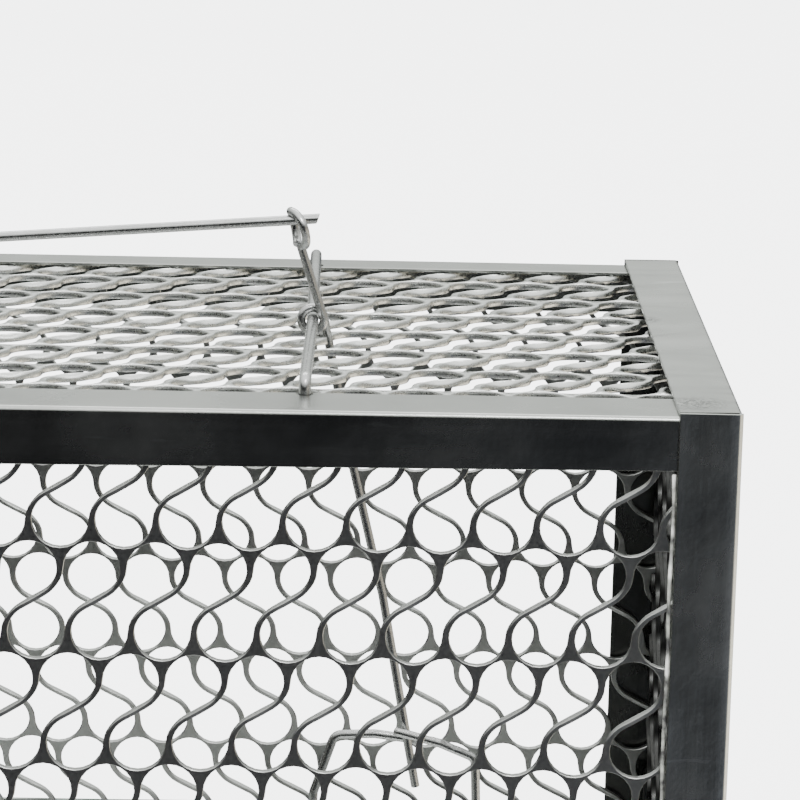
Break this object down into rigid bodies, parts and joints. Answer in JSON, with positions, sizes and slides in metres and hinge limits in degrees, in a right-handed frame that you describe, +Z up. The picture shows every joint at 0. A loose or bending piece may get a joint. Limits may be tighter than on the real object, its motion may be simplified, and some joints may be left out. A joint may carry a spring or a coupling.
{
  "type": "live catch trap",
  "caption": "Cage trap of folded steel strips and punched mesh, with a treadle, a bent-wire trigger on the roof and a sprung end door held open by a rod.",
  "frame": {"origin": "on the ground under the middle of the overall length and width in the set pose", "axes": "+X along the cage towards its closed end, +Y across it away from the pictured side, +Z up"},
  "size_m": [0.4419, 0.15, 0.1769],
  "materials": {
    "strip": "bare folded sheet, light scratches",
    "mesh": "bare punched sheet",
    "wire": "bright zinc-plated wire",
    "plate": "galvanised sheet",
    "spring": "spring steel wire"
  },
  "bodies": {
    "cage": {"rail_top_front": "strip", "rail_top_rear": "strip", "rail_bottom_front": "strip", "rail_bottom_rear": "strip", "closed_end_strip_top": "strip", "closed_end_strip_bottom": "strip", "closed_end_post_front": "strip", "closed_end_post_rear": "strip", "door_end_strip_top": "strip", "door_end_strip_bottom": "strip", "door_end_post_front": "strip", "door_end_post_rear": "strip", "mesh_front": "mesh", "mesh_rear": "mesh", "mesh_roof": "mesh", "mesh_closed_end": "mesh", "floor_sheet": "plate", "pivot_wire": "wire", "treadle_pin": "wire", "treadle_lug_front": "plate", "treadle_lug_rear": "plate", "hinge_pin": "wire", "hinge_lug_front": "strip", "hinge_lug_rear": "strip", "door_spring_front": "spring", "door_spring_rear": "spring"},
    "door": {"door_frame": "strip", "door_mesh": "mesh", "door_knuckle_front": "strip", "door_knuckle_rear": "strip", "trip_rod": "wire", "rod_clip_top": "strip", "rod_clip_bottom": "strip"},
    "trigger": {"trigger_wire": "wire"},
    "treadle": {"treadle_plate": "plate", "bail_wire_rear": "wire", "bail_wire_front": "wire"}
  },
  "joints": [
    {"name": "door_hinge", "type": "hinge", "parent": "cage", "child": "door", "pos_m": [-0.08225, 0, 0.144], "axis": [0, -1, 0], "range_deg": [0, 85.61], "deforming": ["door_spring_front", "door_spring_rear"]},
    {"name": "treadle_tilt", "type": "hinge", "parent": "cage", "child": "treadle", "pos_m": [0.20295, 0, 0.008], "axis": [0, -1, 0], "range_deg": [0, 8]},
    {"name": "trigger_turn", "type": "hinge", "parent": "cage", "child": "trigger", "pos_m": [0.13515, -0.0042, 0.1518], "axis": [0, 1, 0], "range_deg": [0, 20]}
  ],
  "couplings": [
    {"joint": "trigger_turn", "follows": "treadle_tilt", "ratio": 2.5}
  ]
}
